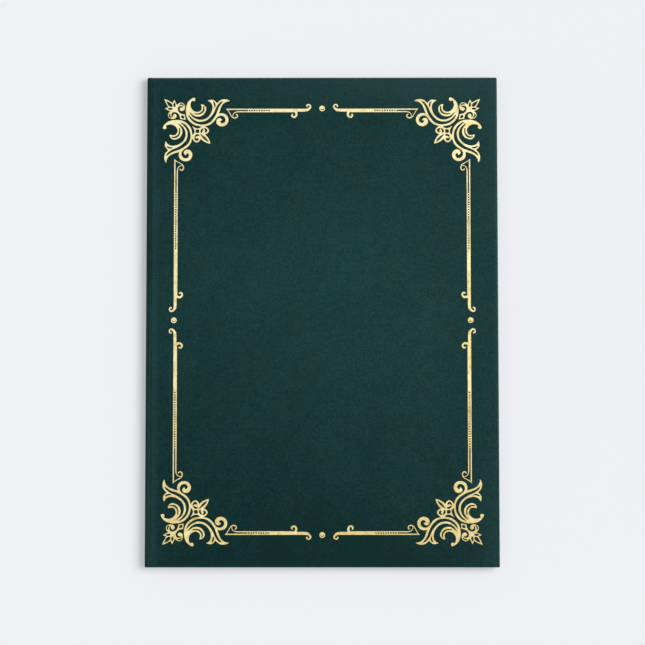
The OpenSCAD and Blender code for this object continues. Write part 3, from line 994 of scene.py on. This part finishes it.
# closed outlines of the top of a node, in their final place, each as a list of points that turns
# left round the foil
def topOutlines(node):
    mesh = bmesh.new()
    mesh.from_mesh(frame["nodes"][node].data)
    bmesh.ops.remove_doubles(mesh, verts=mesh.verts, dist=samePoint)
    top = max(v.co.z for v in mesh.verts)
    flat = dict.fromkeys(f for f in mesh.faces if all(top - v.co.z < sameHeight for v in f.verts))
    follow = {}
    for face in flat:
        for corner in face.loops:
            if not any(f in flat and f is not face for f in corner.edge.link_faces):
                follow[corner.vert] = corner.link_loop_next.vert
    outlines = []
    while follow:
        start, vert = follow.popitem()
        outline = [start.co.copy()]
        while vert is not start:
            outline.append(vert.co.copy())
            vert = follow.pop(vert)
        outlines.append([point * stamp["fit"] + stamp["shift"] for point in outline])
    mesh.free()
    return outlines


# an outline made smooth between its corners, which stay sharp
def smoothOutline(points):
    count = len(points)
    steps = [points[(i + 1) % count] - points[i] for i in range(count)]
    lengths = [step.length for step in steps]
    ways = [step.normalized() for step in steps]
    bends = []
    for i in range(count):
        before, after = ways[i - 1], ways[i]
        sharp = before.angle(after, 0) > math.radians(stamp["cornerAngle"])
        mean = (before * lengths[i] + after * lengths[i - 1]) / (lengths[i] + lengths[i - 1])
        bends.append((before, after) if sharp else (mean, mean))
    made = []
    for i in range(count):
        a, b = points[i], points[(i + 1) % count]
        leave, arrive = bends[i][1] * lengths[i], bends[(i + 1) % count][0] * lengths[i]
        made.append(a)
        if all((b - a).cross(way).length < sameHeight ** 2 for way in (leave, arrive)):
            continue
        for k in range(1, stamp["steps"]):
            t = k / stamp["steps"]
            made.append(a * (2 * t ** 3 - 3 * t ** 2 + 1) + leave * (t ** 3 - 2 * t ** 2 + t)
                        + b * (3 * t ** 2 - 2 * t ** 3) + arrive * (t ** 3 - t ** 2))
    return made


def sizeOf(points):
    return (Vector(map(max, zip(*points))) - Vector(map(min, zip(*points)))).length


# the outline moved into the foil, square to its line, and by its own distance round each gap
def drawIn(points, isDot):
    size = sizeOf(points)
    names = ("dotGapDrawnIn", "dotDrawnIn") if isDot else ("gapDrawnIn", "drawnIn")
    isGap = size < stamp["dotGapSize" if isDot else "gapSize"]
    distance = stamp[names[0] if isGap else names[1]]
    lift = stamp["dotDiscLift"] if isDot and size < stamp["dotDiscSize"] else Vector()
    made = []
    for i, point in enumerate(points):
        before = (point - points[i - 1]).normalized()
        after = (points[(i + 1) % len(points)] - point).normalized()
        middle = (before + after).normalized()
        reach = max(middle.dot(after), stamp["leastReach"])
        made.append(point + lift + Vector((-middle.y, middle.x, 0)) * distance / reach)
    return made


# flat triangles between closed outlines, with their holes left open: foil is where the outlines
# turn left round a triangle more often than right, counted from the outside inwards
def fillOutlines(mesh, outlines, height):
    points, walls = [], []
    for outline in outlines:
        first, count = len(points), len(outline)
        points += [Vector((p.x / mm, p.y / mm)) for p in outline]
        walls += [(first + i, first + (i + 1) % count) for i in range(count)]
    spots, edges, triangles, _, origins, _ = delaunay_2d_cdt(points, walls, [], 0,
                                                             stamp["sameSpot"])
    turns = {}
    for (a, b), origin in zip(edges, origins):
        way = spots[b] - spots[a]
        turn = sum(1 if way.dot(points[walls[k][1]] - points[walls[k][0]]) > 0 else -1
                   for k in origin)
        turns[a, b], turns[b, a] = turn, -turn
    owner = {(t[k - 1], t[k]): i for i, t in enumerate(triangles) for k in range(3)}
    inside = {}
    todo = [(i, turns[edge]) for edge, i in owner.items() if edge[::-1] not in owner]
    while todo:
        i, turn = todo.pop()
        if i in inside:
            continue
        inside[i] = turn
        t = triangles[i]
        for edge in ((t[0], t[1]), (t[1], t[2]), (t[2], t[0])):
            if edge[::-1] in owner:
                todo.append((owner[edge[::-1]], turn - turns[edge]))
    verts = {}
    faces = []
    for i, triangle in enumerate(triangles):
        if inside[i] > 0:
            for k in triangle:
                if k not in verts:
                    verts[k] = mesh.verts.new((spots[k].x * mm, spots[k].y * mm, height))
            faces.append(mesh.faces.new([verts[k] for k in triangle]))
    return faces


def camelName(node):
    first, *others = node.split("_")
    return first + "".join(word.capitalize() for word in others)


def addFoil(node):
    low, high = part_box(node)
    outlines = [drawIn(smoothOutline(outline), node.startswith("dot"))
                for outline in topOutlines(node) if sizeOf(outline) > stamp["speckSize"]]
    mesh = bmesh.new()
    raiseFaces(mesh, fillOutlines(mesh, outlines, low.z), high.z - low.z)
    finishPiece(mesh, camelName(node), "foil", "front_cover", node)


foilNodes = [node for node in frame["nodes"] if node.startswith(("flourish", "rule", "dot"))]
for node in sorted(foilNodes):
    addFoil(node)
print("foil made:", len(foilNodes), "pieces")


# low pearls of foil between the gaps of each rule's beads, one tree for all the rows
pearls = {"Pitch": 1.6 * mm, "Width": 0.44 * mm, "Rise": 0.03 * mm, "Segments": 12, "Rings": 8}


def pearlTree():
    tree = bpy.data.node_groups.new("pearlRows", "GeometryNodeTree")
    sockets = {"Rows": "Geometry", "Pitch": "Float", "Width": "Float", "Rise": "Float",
               "Segments": "Int", "Rings": "Int", "Finish": "Material"}
    for name, kind in sockets.items():
        tree.interface.new_socket(name, in_out="INPUT", socket_type="NodeSocket" + kind)
    tree.interface.new_socket("Pearls", in_out="OUTPUT", socket_type="NodeSocketGeometry")
    given = tree.nodes.new("NodeGroupInput").outputs
    row = addNode("GeometryNodeMeshToCurve", {"Mesh": given["Rows"]})[0]
    spots = addNode("GeometryNodeResampleCurve", {"Curve": row, "Length": given["Pitch"]},
                    mode="LENGTH")[0]
    ball = addNode("GeometryNodeMeshUVSphere",
                   {"Segments": given["Segments"], "Rings": given["Rings"], "Radius": 0.5})[0]
    size = addNode("ShaderNodeCombineXYZ",
                   {"X": given["Width"], "Y": given["Width"], "Z": given["Rise"]})[0]
    placed = addNode("GeometryNodeInstanceOnPoints",
                     {"Points": spots, "Instance": ball, "Scale": size})[0]
    real = addNode("GeometryNodeRealizeInstances", {"Geometry": placed})[0]
    done = addNode("GeometryNodeSetMaterial", {"Geometry": real, "Material": given["Finish"]})[0]
    addNode("NodeGroupOutput", {"Pearls": done})
    return tree


# the middles of the first and last beads, each between two gaps in a rule's row
def rowOfBeads(node):
    gaps = [outline for outline in topOutlines(node) if sizeOf(outline) < stamp["gapSize"]]
    middles = [sum(gap, Vector()) / len(gap) for gap in gaps]
    middles.sort(key=lambda p: p.x + p.y)
    return (middles[0] + middles[1]) / 2, (middles[-1] + middles[-2]) / 2


def addPearls():
    ends = [end for node in foilNodes if node.startswith("rule") for end in rowOfBeads(node)]
    data = bpy.data.meshes.new("beadRows")
    data.from_pydata(ends, [(i, i + 1) for i in range(0, len(ends), 2)], [])
    rows = addObject("beadRows", data)
    modifier = rows.modifiers.new("pearls", "NODES")
    modifier.node_group = pearlTree()
    for socket in modifier.node_group.interface.items_tree:
        if socket.name in pearls:
            modifier[socket.identifier] = pearls[socket.name]
        elif socket.name == "Finish":
            modifier[socket.identifier] = materials["foil"]
    graph = bpy.context.evaluated_depsgraph_get()
    mesh = bmesh.new()
    mesh.from_mesh(bpy.data.meshes.new_from_object(rows.evaluated_get(graph)))
    bpy.data.objects.remove(rows)
    return finishPiece(mesh, "beadPearls", "foil", "front_cover")


print("pearls made:", len(addPearls().data.polygons), "faces")


# the boards, cores and stiffening strip keep the model's own shape
slots = {part["node"]: part["material_slot"] for part in frame["record"]["subparts"]}
for node, piece in frame["nodes"].items():
    piece.data.materials.clear()
    piece.data.materials.append(materials[slots[node]])
print("nodes finished:", len(slots))


# floor, lamp and world: plain and pale, with one wide soft lamp at the upper right
studio = {
    "paper": (0.857, 0.872, 0.887),     # colour of the background as it is seen
    "floorAlbedo": 0.62,
    "floorRoughness": 0.9,
    "floorSize": 6.0,
    "worldLow": 0.14,                   # light of the world from the lower left,
    "worldHigh": 0.44,                  # and from the upper right
    "mirrored": (-0.1, 0.95, 0.45, 1.145),    # sky that the foil mirrors, from low to high
    "lampShare": 0.72,                  # light of the lamp on the middle of the cover
    "lampPlace": (0.84, 0.17, 1.10),
    "lampSize": 1.00,
}
lampPlace = Vector(studio["lampPlace"])
lampWay = lampPlace.normalized()
lampSpan = (studio["lampSize"] / 2) ** 2
lampPower = lampPlace.length * (lampPlace.length_squared + lampSpan)
worldMean = (studio["worldLow"] + studio["worldHigh"]) / 2
worldSlope = (studio["worldHigh"] - studio["worldLow"]) / 2
worldShare = (worldMean + worldSlope * lampWay.z * 2 / 3) * studio["paper"][1]    # on the floor


# the floor takes light and shadow as usual, and what the lamp's distance takes from it is made up
# for the camera alone, so that the background has one tone
def floorMaterial():
    material, place = startMaterial("floor")
    albedo = studio["floorAlbedo"]
    toLamp = addVectorMaths("SUBTRACT", lampPlace, place)
    reach = addVectorMaths("LENGTH", toLamp)
    facing = addVectorMaths("DOT_PRODUCT", toLamp, lampWay)
    square = multiply(reach, reach)
    falling = addMaths("DIVIDE", facing, multiply(square, add(square, lampSpan)))
    lamp = multiply(falling, studio["lampShare"] * lampPower)
    light = add(addMaths("MAXIMUM", lamp, 0), worldShare)
    missing = subtract(1, multiply(light, albedo))
    seen = material.node_tree.nodes.new("ShaderNodeLightPath").outputs["Is Camera Ray"]
    return finishMaterial(material, {
        "Base Color": rgb(colour * albedo for colour in studio["paper"]),
        "Roughness": studio["floorRoughness"],
        "Specular IOR Level": 0.0,
        "Emission Color": rgb(studio["paper"]),
        "Emission Strength": multiply(addMaths("MAXIMUM", missing, 0), seen),
    })


def addFloor():
    half = studio["floorSize"] / 2
    data = bpy.data.meshes.new("floor")
    data.from_pydata([(-half, -half, 0), (half, -half, 0), (half, half, 0), (-half, half, 0)], [],
                     [(0, 1, 2, 3)])
    data.materials.append(floorMaterial())
    addObject("floor", data)


# the camera sees the paper's tone, the foil mirrors a pale sky, and all else takes the fill
def addWorld():
    world = bpy.data.worlds.new("studio")
    scene.world = world
    world.use_nodes = True
    nodes = world.node_tree.nodes
    path = nodes.new("ShaderNodeLightPath").outputs
    way = nodes.new("ShaderNodeTexCoord").outputs["Generated"]
    side = addVectorMaths("DOT_PRODUCT", way, lampWay)
    _, _, up = splitVector(way)
    fill = stretch(side, (-1, 1, studio["worldLow"], studio["worldHigh"]))
    light = blendValues(path["Is Glossy Ray"], fill, stretch(up, studio["mirrored"]))
    setInputs(nodes["Background"], {
        "Strength": blendValues(path["Is Camera Ray"], light, 1.0),
        "Color": rgb(studio["paper"]),
    })


# the power that gives the lamp's share of light straight below its own height
def addLamp():
    data = bpy.data.lights.new("lamp", "AREA")
    data.shape = "DISK"
    data.size = studio["lampSize"]
    data.energy = studio["lampShare"] * math.pi ** 2 * lampPower / lampPlace.z
    lamp = addObject("lamp", data)
    lamp.rotation_euler = lampWay.to_track_quat("Z", "Y").to_euler()
    lamp.location = lampPlace
    lamp.visible_camera = False


addFloor()
addWorld()
addLamp()
print("studio made")
